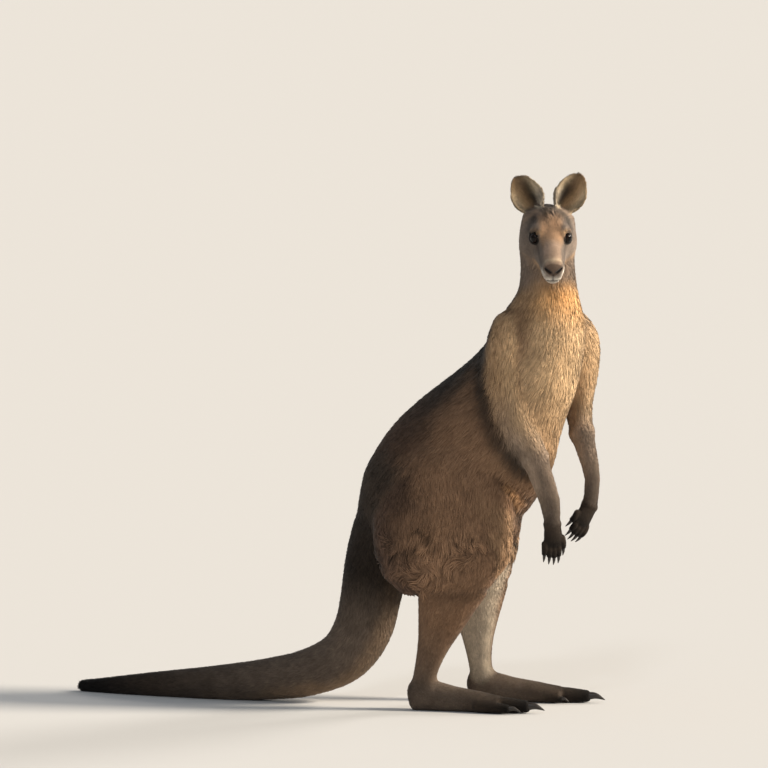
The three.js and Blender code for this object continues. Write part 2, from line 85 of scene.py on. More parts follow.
THIGH = [
    [84, 5, 600, 58, 75, 70], [93, -2, 540, 75, 130, 130], [101, -8, 480, 78, 158, 160],
    [105, -4, 425, 77, 168, 172],
    [107, 0, 375, 74, 160, 165], [106, 0, 330, 67, 140, 148], [104, -4, 304, 54, 108, 120],
]
SHANK = [
    [114, -90, 400, 52, 60, 62], [115, -72, 340, 56, 84, 66], [114, -38, 281, 54, 100, 62],
    [111, -12, 225, 46, 74, 52],
    [107, 14, 160, 33, 46, 36], [105, 32, 105, 26, 34, 27], [104, 45, 58, 25, 30, 27],
]
FOOT = [
    [104, 66, 30, 24, 33, 32], [104, 30, 36, 28, 38, 38], [106, -30, 29, 29, 31, 31],
    [109, -90, 25, 31, 25, 27],
    [113, -138, 20, 33, 19, 22],
]
TOES = {
    "fourth": [[113, -120, 20, 20], [116, -165, 18, 19], [119, -208, 16, 15]],
    "fifth": [[134, -95, 18, 14], [141, -135, 15, 13], [147, -168, 13, 10]],
    "second": [[92, -100, 18, 10], [88, -130, 14, 9], [87, -150, 11, 7]],
}
UPPER_ARM = {
    "right": [[-76, -18, 928, 46, 58, 46], [-94, -8, 868, 56, 66, 58], [-106, 6, 785, 48, 60, 58],
              [-112, 38, 705, 42, 52, 50], [-101, 80, 645, 36, 41, 39], [-95, 98, 612, 31, 32, 32]],
    "left": [[80, -8, 930, 48, 48, 46], [107, -6, 880, 63, 60, 56], [112, -2, 808, 50, 56, 54],
             [105, 6, 742, 36, 46, 44], [99, 20, 697, 32, 36, 35], [93, 36, 662, 29, 30, 30]],
}
# From the end of the upper arm to the wrist
FOREARM = {
    "right": [[-89, 114, 570, 29, 29, 29], [-76, 130, 512, 26, 25, 25], [-72, 135, 458, 20, 18, 18]],
    "left": [[91, 60, 615, 25, 25, 25], [86, 87, 555, 20, 19, 19], [65, 104, 492, 20, 18, 18]],
}
HANDS = {
    "right": {"down": (0.02, 0.06, -1), "back": (-0.35, 1, 0.1)},
    "left": {"down": (-0.68, -0.05, -0.92), "back": (0.3, 0.9, 0.35)},
}
PALM_LENGTH = 50.0
FINGERS = (-22, -10.5, 0, 10.5, 21.5)
FINGER_LENGTHS = (22, 28, 31, 29, 23)
HEAD = [
    [0, -84, -6, 46, 44, 52], [0, -54, -13, 58, 57, 68], [0, -18, -18, 63, 56, 69], [0, 10, -21, 55, 50, 62],
    [0, 30, -23, 43, 45, 56], [0, 50, -25, 37, 41, 51], [0, 76, -28, 32, 35, 48], [0, 100, -30, 29, 28, 44],
    [0, 113, -31, 25, 22, 40],
]


def unit(v):
    v = np.asarray(v, float)
    return v / np.linalg.norm(v)


def lengths(rows):
    return np.linalg.norm(rows, axis=1)


def turned(v, degrees):
    c, s = cos(radians(degrees)), sin(radians(degrees))
    return np.array([c * v[0] - s * v[1], s * v[0] + c * v[1], v[2]])


UP = np.array([0.0, 0.0, 1.0])
LEVEL = turned((0, -1, 0), HEAD_TURN)
HEAD_LEFT = turned((1, 0, 0), HEAD_TURN)
DROP = radians(HEAD_DROP)
HEAD_FORWARD = LEVEL * cos(DROP) - UP * sin(DROP)
HEAD_UP = LEVEL * sin(DROP) + UP * cos(DROP)
HEAD_AXES = np.array([HEAD_LEFT, HEAD_FORWARD, HEAD_UP])
CHEST_AXES = np.array([turned((1, 0, 0), CHEST_TURN), turned((0, -1, 0), CHEST_TURN), UP])


def in_head(p):
    return HEAD_CENTRE + np.asarray(p, float) @ HEAD_AXES


def to_head(points):
    return (points - HEAD_CENTRE) @ HEAD_AXES.T


def in_chest(p):
    return CHEST_AT + np.asarray(p, float) @ CHEST_AXES


def place(rows, where):
    return [list(where(row[:3])) + list(row[3:]) for row in rows]


# The solids' origin was moved to the middle of their box: the eyes say by how much.
ORIGIN = in_head((-EYE_AT[0], EYE_AT[1], EYE_AT[2])) - np.mean(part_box("eye_right"), axis=0) / MM


def metres(points):
    return (np.asarray(points, float) - ORIGIN) * MM


def ease(low, high, x):
    """Rises smoothly from 0 at low to 1 at high. It falls where high is the lower."""
    t = np.clip((x - low) / (high - low), 0, 1)
    return t * t * (3 - 2 * t)


def melt(a, b, reach):
    """The lesser of two fields, with the corner between them rounded."""
    h = np.maximum(reach - np.abs(a - b), 0) / reach
    return np.minimum(a, b) - h * h * reach / 4


def quads(rings, sides):
    """Faces between rings of points that are numbered one ring after the other."""
    return [(r * sides + k, r * sides + n, (r + 1) * sides + n, (r + 1) * sides + k)
            for r in range(rings - 1) for k in range(sides) for n in [(k + 1) % sides]]


# ---- swept forms
def splined(rows, step):
    """Rows on a smooth curve through the given ones, step of them for each gap."""
    last = len(rows) - 1
    table = []
    for i in range(last * step + 1):
        t = i / step
        k = min(int(t), last - 1)
        f = t - k
        a, b, c, d = rows[max(k - 1, 0)], rows[k], rows[k + 1], rows[min(k + 2, last)]
        s0, s1, rise = (c - a) / 2, (d - b) / 2, c - b
        table.append(b + f * (s0 + f * (3 * rise - 2 * s0 - s1 + f * (s0 + s1 - 2 * rise))))
    return np.array(table)


class Form:
    """Elliptical sections along a smooth spine, with rounded ends, as a field that is negative inside.

    hint is roughly the sections' way up, caps are the lengths of the ends, coat is the depth of fur at
    both, reach is how softly the form melts into the rest, and flow is +1 where the hair runs along the
    rows and -1 where it runs against them.
    """

    def __init__(self, name, rows, hint, caps, coat, reach, flow=1, step=3):
        rows = [list(r[:4]) + [r[3], r[3]] if len(r) == 4 else list(r) for r in rows]
        rows = np.array([r + [0] if len(r) == 6 else r for r in rows], float)
        self.name, self.caps, self.reach, self.flow = name, caps, reach, flow
        table = splined(rows, step)
        last = self.count = len(table) - 1
        self.centre, self.halves = table[:, :3], table[:, 3:6]
        self.coat = np.linspace(*coat, last + 1)
        self.along = np.array([unit(self.centre[min(i + 1, last)] - self.centre[max(i - 1, 0)])
                               for i in range(last + 1)])
        hints = [turned(hint, degrees) for degrees in table[:, 6]]
        self.up = np.array([unit(h - along * (h @ along)) for h, along in zip(hints, self.along)])
        self.side = np.cross(self.along, self.up)
        pad = self.halves.max() + max(caps) + 60
        self.box = self.centre.min(0) - pad, self.centre.max(0) + pad

    def measure(self, points):
        """For the points nearby: their numbers, field, place along the form (0 to 1) and round it, and axis.

        A point belongs to the section whose plane it lies in, or beyond the ends to the last section.
        """
        near = np.flatnonzero(((points > self.box[0]) & (points < self.box[1])).all(1))
        p = points[near]
        ahead = p @ self.along.T - (self.centre * self.along).sum(1)
        field = np.full(len(p), FAR)
        place_at, phi = np.zeros((2, len(p)))
        for i in range(-1, self.count + 1):
            k = max(i, 0)
            n = min(k + 1, self.count)
            if 0 <= i < self.count:
                found = np.flatnonzero((ahead[:, k] >= 0) & (ahead[:, n] <= 0))
                gap = ahead[found, k] - ahead[found, n]
                beyond, share = 0.0, ahead[found, k] / np.maximum(gap, 1e-9)
            else:
                found = np.flatnonzero(ahead[:, k] < 0 if i < 0 else ahead[:, k] > 0)
                beyond, share = ahead[found, k], np.zeros(len(found))
            if not len(found):
                continue
            between = lambda rows: rows[k] + (rows[n] - rows[k]) * share[:, None]
            q = p[found] - between(self.centre)
            side, up = (q * between(self.side)).sum(1), (q * between(self.up)).sum(1)
            coat = (self.coat[k] + (self.coat[n] - self.coat[k]) * share) * ease(-4, 30, p[found, 2])
            wide, top, low = (between(self.halves) - coat[:, None]).T
            cap = self.caps[0 if i < 0 else 1] - coat
            tall = np.where(up > 0, top, low)
            m = np.maximum(np.sqrt((side / wide) ** 2 + (up / tall) ** 2 + (beyond / cap) ** 2), 1e-6)
            f = np.sqrt(side ** 2 + up ** 2 + beyond ** 2) * (1 - 1 / m)
            less = f < field[found]
            closer = found[less]
            field[closer], phi[closer] = f[less], np.arctan2(up / tall, side / wide)[less]
            place_at[closer] = k + share[less]
        k = np.minimum(place_at.astype(int), self.count)
        n = np.minimum(k + 1, self.count)
        along = self.along[k] + (self.along[n] - self.along[k]) * (place_at - k)[:, None]
        return near, field, place_at / self.count, phi, along

    def loft(self, sides=28):
        """Vertices and faces of a closed mesh of the form, inside its coat."""
        ring = np.arange(sides) * 2 * pi / sides
        sections = [(0, -self.caps[0] * sin(a), cos(a)) for a in (1.3, 0.8)]
        sections += [(i, 0, 1) for i in range(self.count + 1)]
        sections += [(self.count, self.caps[1] * sin(a), cos(a)) for a in (0.8, 1.3)]
        points = []
        for i, shift, scale in sections:
            depth = self.coat[i]
            wide, top, low = np.maximum(self.halves[i] - depth, 1) * scale
            shift *= 1 - depth / max(self.caps)
            tall = np.where(np.sin(ring) > 0, top, low)
            points.append(self.centre[i] + shift * self.along[i] + np.outer(np.cos(ring) * wide, self.side[i])
                          + np.outer(np.sin(ring) * tall, self.up[i]))
        ends = [points[0].mean(0, keepdims=True), points[-1].mean(0, keepdims=True)]
        faces = quads(len(sections), sides)
        first = len(sections) * sides
        for k in range(sides):
            n = (k + 1) % sides
            faces.append((first, n, k))
            faces.append((first + 1, first - sides + k, first - sides + n))
        return np.concatenate(points + ends), faces


def thigh_shift(z):
    return FAR_KNEE_BACK * np.clip((600 - z) / 220, 0, 1)


def shank_shift(z):
    t = np.clip((z - 60) / 345, 0, 1)
    return FAR_KNEE_BACK * t - FAR_FOOT_FORWARD * (1 - t)


def foot_shift(z):
    return -FAR_FOOT_FORWARD


def leg_rows(rows, side, shift):
    return [[r[0] * side, r[1] + (shift(r[2]) if side > 0 else 0)] + list(r[2:]) for r in rows]


FORMS = [Form("trunk", TRUNK, (0, 1, 0), (70, 24), (8, 5), 30, flow=-1),
         Form("tail", TAIL, (0, 1, 1), (60, 14), (7, 3), 46)]
CLAWS = {}


def digit(name, rows, nail_row, hint, pared, coat, reach, paw):
    """The flesh of a finger or toe becomes a form, and the rest of its rows a claw."""
    caps = rows[0][3], rows[nail_row][3] * 0.8
    FORMS.append(Form(name, rows[:nail_row + 1], hint, caps, coat, reach, step=2))
    start = np.array(rows[nail_row], float)
    back = start + (np.array(rows[nail_row - 1], float) - start) * 0.3
    claw = [list(r[:3]) + [r[3] - pared] for r in [[*back[:3], start[3]]] + rows[nail_row:]]
    CLAWS.setdefault(paw, []).append((claw, hint))


for side_name, side in (("right", -1), ("left", 1)):
    for part, rows, shift, *rest in (("thigh", THIGH, thigh_shift, (0, 1, 0.2), (24, 12), (8, 7), 46),
                                     ("shank", SHANK, shank_shift, (0, 1, 0.2), (20, 24), (6, 3), 30),
                                     ("foot", FOOT, foot_shift, (0, 0, 1), (18, 14), (3, 2), 20)):
        FORMS.append(Form(f"{part}_{side_name}", leg_rows(rows, side, shift), *rest, step=2))
    for toe, rows in TOES.items():
        line = leg_rows(rows, side, foot_shift)
        x, y, z, r = line[-1]
        long = TOE_CLAW_LENGTHS[toe]
        nail = [[x, y - long * 0.5, z + 1, r * 0.82], [x, y - long, z * 0.5, r * 0.32 + 1]]
        digit(f"toe_{toe}_{side_name}", line + nail, len(line) - 1, (0, 0.3, 1), r * 0.32, (2, 1.5), 7,
              side_name + "_foot")
    back = -CHEST_AXES[1]
    upper, fore = UPPER_ARM[side_name], FOREARM[side_name]
    for part, rows, *rest in (("upper_arm", upper, back, (34, 20), (8, 6), 24),
                              ("forearm", upper[-1:] + fore, back, (20, 10), (5, 3), 20)):
        FORMS.append(Form(f"{part}_{side_name}", place(rows, in_chest), *rest, step=2))
    hand = HANDS[side_name]
    wrist = in_chest(fore[-1][:3])
    reach_dir = unit(np.array(hand["down"]) @ CHEST_AXES)
    face = np.array(hand["back"]) @ CHEST_AXES
    face = unit(face - reach_dir * (face @ reach_dir))
    across = np.cross(reach_dir, face) * -side
    spot = lambda along, wide, out: list(wrist + reach_dir * along + across * wide + face * out)
    palm = [spot(0, 0, 0) + [20, 17, 17], spot(18, 0, 1) + [23, 15, 15],
            spot(PALM_LENGTH * 0.8, 0, 2) + [25, 13, 13], spot(PALM_LENGTH, 0, 2) + [23, 11, 11]]
    FORMS.append(Form("palm_" + side_name, palm, face, (8, 8), (2.5, 2), 14, step=1))
    for i, wide in enumerate(FINGERS):
        start = PALM_LENGTH - (16 if i == 0 else 4)
        end = start + FINGER_LENGTHS[i]
        rows = [spot(start, wide, 1) + [8.5], spot(start + FINGER_LENGTHS[i] * 0.55, wide * 1.06, 3) + [8],
                spot(end, wide * 1.1, 0) + [6.6], spot(end + HAND_CLAW_LENGTH * 0.5, wide * 1.13, -2) + [5.8],
                spot(end + HAND_CLAW_LENGTH, wide * 1.13, -8) + [3.4]]
        digit(f"finger_{i + 1}_{side_name}", rows, 2, face, 2.4, (1.5, 1), 4, side_name + "_hand")

SKULL = Form("head", place(HEAD, in_head), HEAD_UP, (34, 12), (5, 2.5), 24, flow=-1, step=2)
FORMS.append(SKULL)
# Brow, cheek and muzzle, as centre and halves in the head
LUMPS = [((31, 4, 16), (17, 20, 13)), ((38, -22, -34), (26, 34, 36)), ((0, 114, -17), (22, 12, 14))]


def lump_field(points, centre, halves, inset):
    h = to_head(points)
    out = np.full(len(points), FAR)
    for sign in ((-1, 1) if centre[0] else (1,)):
        q = h - np.array([centre[0] * sign, centre[1], centre[2]])
        m = np.maximum(np.sqrt(((q / (np.array(halves) - inset)) ** 2).sum(1)), 1e-6)
        out = np.minimum(out, np.sqrt((q ** 2).sum(1)) * (1 - 1 / m))
    return out


def lines_at(points, line):
    """Distance from the points to a bent line."""
    line = np.asarray(line, float)
    best = np.full(len(points), FAR)
    for a, b in zip(line[:-1], line[1:]):
        run = b - a
        t = np.clip((points - a) @ run / (run @ run), 0, 1)
        best = np.minimum(best, lengths(points - a - t[:, None] * run))
    return best


def bell(x, width):
    return np.exp(-(x / width) ** 2)


def blob(points, centre, halves):
    """1 at the centre, and next to nothing two of its halves away from it."""
    return bell(lengths((points - centre) / halves), 1)


def stroke(points, line, width):
    """1 on a bent line, and next to nothing two widths away from it."""
    return bell(lines_at(points, line), width)


# The eye's opening is an almond across the axis the eye looks along, its inner corner low and forward.
EYE_LOOKS = unit((0.70, 0.68, 0.16))
EYE_INNER = np.array((-0.62, 0.72, -0.30))
EYE_INNER = unit(EYE_INNER - EYE_LOOKS * (EYE_INNER @ EYE_LOOKS))
EYE_OVER = np.cross(EYE_INNER, EYE_LOOKS)
ALMOND = (13.0, 9.6, 8.8)        # half length, rise of the upper lid and fall of the lower one
LID = 1.9
PHILTRUM = [(0, 123, -36), (0, 119, -56)]
MOUTH = [(0, 118.5, -57), (11, 116, -57), (17, 110, -58), (20.5, 100, -57.5), (22.5, 80, -56.5),
         (24.5, 62, -55)]
NOSTRIL = [(8, 123, -31), (14, 121, -26), (18.5, 118.5, -23)]


def almond(q):
    """For points from the eye's centre: the almond's field, height over its middle line, and how far out."""
    b, c = q @ EYE_INNER, q @ EYE_OVER
    half, rise_up, fall = ALMOND
    up_r, low_r = (half ** 2 + rise_up ** 2) / (2 * rise_up), (half ** 2 + fall ** 2) / (2 * fall)
    upper = np.hypot(b, c - (rise_up - up_r)) - up_r
    lower = np.hypot(b, c + (fall - low_r)) - low_r
    return np.maximum(upper, lower), c, q @ EYE_LOOKS


def mirrored(h):
    return np.abs(h) * [1, 0, 0] + h * [0, 1, 1]


def face(points, field):
    """Lids, brow, cheeks, nostrils and mouth, worked into the head's field."""
    h = mirrored(to_head(points))
    q = h - EYE_AT
    reach = lengths(q)
    lens, over, out = almond(q)
    field = np.where(reach < 44, melt(field, reach - EYE_RADIUS - LID, 8), field)
    field = field + 0.9 * bell(lens - 4.2, 1.3) * (over > 0) * (reach < 24)
    field = field + 0.7 * bell(lens - 5.0, 1.5) * (over < 0) * (reach < 24)
    hole = np.maximum(np.maximum(lens, EYE_RADIUS * 0.78 - reach), -out)
    field = np.where(reach < 30, -melt(-field, hole, 1.0), field)
    field = field + 3.2 * stroke(h, MOUTH, 1.7) - 1.0 * bell(lines_at(h, MOUTH) - 5, 3.2)
    field = field + 2.4 * stroke(h, PHILTRUM, 1.6)
    field = field + 5.0 * stroke(h, NOSTRIL, 2.6)
    field = field + 2.2 * blob(h, [30, 46, -12], [12, 20, 12])
    return field - 1.6 * blob(h, [21, 96, -36], [9, 16, 10])


# Folds of the skin between thigh and belly, seen from the side: bent lines of y and z
FOLDS = [[(-142, 579), (-173, 550), (-192, 530), (-201, 515)],
         [(-141, 572), (-161, 540), (-176, 511), (-179, 486), (-176, 450)]]
FOLD_WIDTH, FOLD_DEPTH = 5.5, 11.0
# The ridge of skin between them, brightened by a painted highlight, and partings in the ruffled hair of the
# thighs, darkened as painted shade
RIDGE = [(-164, 552), (-181, 530), (-190, 498), (-188, 467)]
PARTINGS = [[(-40, 424), (-67, 404), (-92, 385), (-116, 404), (-136, 402), (-143, 382), (-134, 351),
             (-127, 312)],
            [(67, 421), (60, 445), (39, 450), (25, 436), (-2, 400)],
            [(138, 346), (120, 372), (87, 395), (44, 407)]]
OUTER = 60                       # further from the middle than this are the outsides of the thighs
THIGH_HEM = 296


def folded(points):
    """1 in the folds of the flanks, and 0 away from them."""
    depth = np.zeros(len(points))
    near = np.flatnonzero((np.abs(points[:, 1] + 170) < 60) & (np.abs(points[:, 2] - 510) < 110))
    depth[near] = np.max([stroke(points[near, 1:], line, FOLD_WIDTH) for line in FOLDS], 0)
    return depth


def survey(points, detail=False):
    """The body's field. With detail, also owner, place along and round it, and the hair's way."""
    total, best = np.full((2, len(points)), FAR)
    owner = np.zeros(len(points), int)
    along_at, round_at = np.zeros((2, len(points)))
    way = np.zeros((len(points), 3))
    for number, form in enumerate(FORMS):
        near, field, t, phi, along = form.measure(points)
        if form is SKULL:
            for centre, halves in LUMPS:
                field = melt(field, lump_field(points[near], centre, halves, 3), 16)
            field = face(points[near], field)
        elif form.name.startswith(("thigh", "shank")):
            field = field + 5 * bell(points[near, 2] - THIGH_HEM, 8)
        total[near] = melt(total[near], field, form.reach)
        if detail:
            chosen = field < best[near]
            closer = near[chosen]
            best[closer], owner[closer] = field[chosen], number
            along_at[closer], round_at[closer] = t[chosen], phi[chosen]
            way[near] += along * (form.flow * np.exp(-np.clip(field, -30, 200) / 9))[:, None]
    total += FOLD_DEPTH * folded(points)
    if not detail:
        return total
    return total, owner, along_at, round_at, way


def settle(points, rounds):
    """Moves points onto the body's surface."""
    points = points.copy()
    h, most = 0.5, 6.0
    for _ in range(rounds):
        f = survey(points)
        g = np.stack([survey(points + h * axis) - f for axis in np.eye(3)], 1) / h
        step = np.clip(f / np.maximum((g ** 2).sum(1), 0.2), -most, most)
        points -= step[:, None] * g
    return points


def put(name, data):
    obj = bpy.data.objects.new(name, data)
    bpy.context.collection.objects.link(obj)
    return obj


def new_mesh(name, points, faces):
    mesh = bpy.data.meshes.new(name)
    mesh.from_pydata(metres(points).tolist(), [], [tuple(f) for f in faces])
    mesh.validate()
    mesh.polygons.foreach_set("use_smooth", [True] * len(mesh.polygons))
    return put(name, mesh)


def read(items, what, kind=float):
    """One of the properties of a mesh's items, with three numbers for each."""
    values = np.empty(len(items) * 3, kind)
    items.foreach_get(what, values)
    return values.reshape(-1, 3)


def vertices(mesh):
    return read(mesh.vertices, "co") / MM + ORIGIN


def set_vertices(mesh, points):
    mesh.vertices.foreach_set("co", metres(points).ravel())
    mesh.update()


# ---- ears, as cupped leaves
# From root to tip, as shares of EAR_HALF_WIDTH and EAR_DEPTH
EAR_ROWS = [(0.42, 1), (0.62, 1.05), (0.84, 1), (0.98, 0.85), (1, 0.66), (0.96, 0.48), (0.84, 0.34),
            (0.6, 0.22), (0.22, 0.08)]
EAR_WALL = 5.0
EAR_TURN = 1.4                   # from the ear's back to its rims, in radians
INNER_MARK = 4                   # is added to the angle on the inner face


class Ear:
    """A leaf, cupped like a spoon and open to the front, as a thin field with a rounded rim."""

    def __init__(self, name, side):
        self.name, self.flow, self.reach, self.side = name, 1, 9, side
        self.root = in_head((EAR_AT[0] * side, EAR_AT[1], EAR_AT[2]))
        self.height = EAR_LENGTHS[name[4:]]
        splay = radians(EAR_SPLAYS[name[4:]]) * side
        long = UP * cos(splay) + HEAD_LEFT * sin(splay)
        self.long = unit(long - LEVEL * sin(radians(EAR_LEAN)))
        face = LEVEL + HEAD_LEFT * 0.12 * side
        self.face = unit(face - self.long * (face @ self.long))
        self.across = np.cross(self.long, self.face)
        self.table = splined(np.array(EAR_ROWS), 6)
        self.rows = np.linspace(0, 1, len(self.table))

    def shape(self, t):
        half = np.interp(t, self.rows, self.table[:, 0]) * EAR_HALF_WIDTH
        deep = np.interp(t, self.rows, self.table[:, 1]) * EAR_DEPTH + 2
        return half, deep

    def measure(self, points):
        q = points - self.root
        near = np.flatnonzero((np.abs(q @ self.across) < 90) & (np.abs(q @ self.face) < 90)
                              & (np.abs(q @ self.long - 50) < 110))
        q = q[near]
        wide, out, rise = q @ self.across, q @ self.face, q @ self.long
        t = np.clip(rise / self.height, -0.12, 1)
        half, deep = self.shape(np.clip(t, 0, 1))
        slope = np.clip(np.arctan2(wide / half, -out / deep), -EAR_TURN, EAR_TURN)
        off = np.sqrt((wide - half * np.sin(slope)) ** 2 + (out + deep * np.cos(slope)) ** 2
                      + (rise - t * self.height) ** 2)
        to_rim = np.maximum(np.clip(t, 0, 1), np.abs(slope) / EAR_TURN)
        wall = EAR_WALL * (1 - 0.45 * ease(0.5, 1, to_rim))
        mark = np.where((wide / half) ** 2 + (out / deep) ** 2 < 1, INNER_MARK, 0)
        return near, off - wall / 2, t, slope + mark, np.tile(self.long, (len(near), 1))

    def loft(self):
        columns, rows, points = 15, 33, []
        for t in np.linspace(0, 1, rows):
            half, deep = self.shape(t)
            spine = self.root + self.long * self.height * t
            for outer in (0, 1):
                shift = (outer - 0.5) * (EAR_WALL + 1)
                for c in range(columns):
                    a = ((columns - 1 - c if outer else c) / (columns - 1) * 2 - 1) * EAR_TURN
                    points.append(spine + self.across * (half + shift) * sin(a)
                                  - self.face * (deep + shift) * cos(a))
        loop = columns * 2
        faces = quads(rows, loop)
        for c in range(columns - 1):
            for base in (0, (rows - 1) * loop):
                quad = (base + c, base + c + 1, base + loop - 2 - c, base + loop - 1 - c)
                faces.append(quad if base else quad[::-1])
        return np.array(points), faces


EARS = [Ear("ear_right", -1), Ear("ear_left", 1)]
FORMS.extend(EARS)
NAMES = [form.name for form in FORMS]

# ---- camera
PIXEL = 2.42                     # millimetres of the animal to a pixel of the picture
PICTURE = 768                    # pixels
AIM_RIGHT, AIM_ABOVE = -160, 777
SENSOR = 36.0
VIEW_AZIMUTH, VIEW_RISE, VIEW_FAR = -78.0, 4.0, 15.0
azimuth, rise = radians(VIEW_AZIMUTH), radians(VIEW_RISE)
away = Vector((sin(azimuth) * cos(rise), -cos(azimuth) * cos(rise), sin(rise)))
right = Vector((cos(azimuth), sin(azimuth), 0))
above = away.cross(right)
aim = Vector(-ORIGIN * MM) + right * (AIM_RIGHT * MM) + above * (AIM_ABOVE * MM)
camera = put("camera", bpy.data.cameras.new("camera"))
camera.location = aim + away * VIEW_FAR
camera.rotation_euler = away.to_track_quat("Z", "Y").to_euler()
camera.data.sensor_width = SENSOR
camera.data.lens = SENSOR * VIEW_FAR / (PICTURE * PIXEL * MM)
camera.data.clip_end = 1200
bpy.context.scene.camera = camera


# ---- the skin
VOXEL = 4.0


def join(parts):
    points, faces, start = [], [], 0
    for p, f in parts:
        points.append(p)
        faces.extend([tuple(i + start for i in face) for face in f])
        start += len(p)
    return np.concatenate(points), faces


skin = new_mesh("skin", *join([form.loft() for form in FORMS]))
remesh = skin.modifiers.new("remesh", "REMESH")
remesh.mode, remesh.voxel_size, remesh.use_smooth_shade = "VOXEL", VOXEL * MM, True
whole = bpy.data.meshes.new_from_object(skin.evaluated_get(bpy.context.evaluated_depsgraph_get()))
skin.modifiers.clear()
skin.data = whole


def refine(chosen):
    """Splits each chosen face of the skin into four."""
    bm = bmesh.new()
    bm.from_mesh(skin.data)
    bm.faces.ensure_lookup_table()
    picked = [bm.faces[i] for i in np.flatnonzero(chosen)]
    edges = list({edge for face in picked for edge in face.edges})
    bmesh.ops.subdivide_edges(bm, edges=edges, cuts=1, use_grid_fill=True)
    bm.to_mesh(skin.data)
    bm.free()


def face_centres():
    return read(skin.data.polygons, "center") / MM + ORIGIN


def settle_skin(rounds, chosen=slice(None)):
    points = vertices(skin.data)
    points[chosen] = settle(points[chosen], rounds)
    points[:, 2] = np.maximum(points[:, 2], 0.0)
    set_vertices(skin.data, points)


def smooth_over(values, rounds):
    """Averages values at the skin's vertices with their neighbours'."""
    edges = np.empty(len(skin.data.edges) * 2, int)
    skin.data.edges.foreach_get("vertices", edges)
    a, b = edges.reshape(-1, 2).T
    count = np.bincount(a, minlength=len(values)) + np.bincount(b, minlength=len(values)) + 1.0
    for _ in range(rounds):
        total = values.copy()
        for column in range(values.shape[1]):
            total[:, column] += np.bincount(a, values[b, column], len(values))
            total[:, column] += np.bincount(b, values[a, column], len(values))
        values = total / count[:, None]
    return values


def on_head(points, extra=0):
    h = to_head(points)
    return (h[:, 1] > -62 - extra) & (h[:, 2] > -100) & (points[:, 2] > 1060)


def on_paws(points, extra=0):
    found = np.zeros(len(points), bool)
    for form in FORMS:
        if form.name.startswith(("palm", "toe", "finger")):
            low, high = form.centre.min(0) - 18 - extra, form.centre.max(0) + 18 + extra
            found |= ((points > low) & (points < high)).all(1)
    return found


def on_face(points, extra=0):
    h = mirrored(to_head(points))
    eye = lengths(h - EYE_AT) < 26 + extra
    mouth = lines_at(h, MOUTH) < 9 + extra
    nose = lengths(h - [0, 122, -28]) < 28 + extra
    return eye | mouth | nose


def on_detail(points, extra=0):
    return on_head(points, extra) | on_paws(points, extra) | (folded(points) > 0.02)


settle_skin(2)
points = vertices(skin.data)
kept = on_head(points, 20) | on_paws(points, 6) | (points[:, 2] < 1) | (folded(points) > 0.05)
set_vertices(skin.data, np.where(kept[:, None], points, smooth_over(points, 8)))
for where, rounds in ((on_detail, 2), (on_face, 3)):
    refine(where(face_centres()))
    settle_skin(rounds, where(vertices(skin.data), 4))
refine(on_head(face_centres()) & ~on_face(face_centres()))
settle_skin(1, on_head(vertices(skin.data), 4))


# ---- markings
def linear(*srgb):
    c = np.array(srgb, float) / 255
    return np.where(c <= 0.04045, c / 12.92, ((c + 0.055) / 1.055) ** 2.4)


def ripples(points, size, seed):
    """Smooth disorder between about -1 and 1, in lumps of the given size."""
    rng = np.random.default_rng(seed)
    total = np.zeros(len(points))
    for _ in range(9):
        way = rng.normal(size=3)
        way *= 2 * pi / (size * rng.uniform(1.2, 3.2)) / np.linalg.norm(way)
        total += np.sin(points @ way + rng.uniform(0, 2 * pi))
    return total / 4.2


SLATE, BACK, FLANK = linear(72, 65, 59), linear(90, 70, 57), linear(142, 111, 86)
CHEST, THROAT, ARM = linear(216, 182, 141), linear(238, 185, 126), linear(162, 141, 122)
TAN, BUFF, PALE = linear(184, 150, 114), linear(200, 166, 126), linear(212, 198, 178)
SMOKE, DUSK, BLACK = linear(112, 98, 86), linear(70, 59, 50), linear(26, 22, 20)
FACE_GREY, RUST, BRIDGE = linear(128, 114, 103), linear(188, 151, 118), linear(176, 151, 131)
WHITE, PAD = linear(232, 224, 212), linear(108, 90, 77)
EAR_BROWN, EAR_DARK, EAR_RIM = linear(176, 143, 106), linear(24, 17, 12), linear(222, 200, 166)

# A painted highlight, added to the colour along the ridge between the folds.
RIDGE_HIGHLIGHT = linear(128, 92, 50) * 0.7


def blend(a, b, share):
    share = np.clip(share, 0, 1)[:, None]
    return a * (1 - share) + b * share


def layered(colour, *layers):
    """The colour with each layer's tone laid over it in turn, by its share."""
    for tone, share in layers:
        colour = blend(colour, tone, share)
    return colour


def stops(t, *pairs):
    """Values along t from pairs of place and values, such as a colour's."""
    places, values = zip(*pairs)
    return np.stack([np.interp(t, places, column) for column in zip(*values)], 1)


def nose_pad(h):
    """Below 1 on the bare pad of the nose, which narrows down to the upper lip."""
    half = np.clip(23 + 0.6 * (h[:, 2] + 24), 5, 23)
    return np.sqrt((h[:, 0] / half) ** 2 + ((h[:, 1] - 124) / 18) ** 2 + ((h[:, 2] + 25) / 17) ** 2)


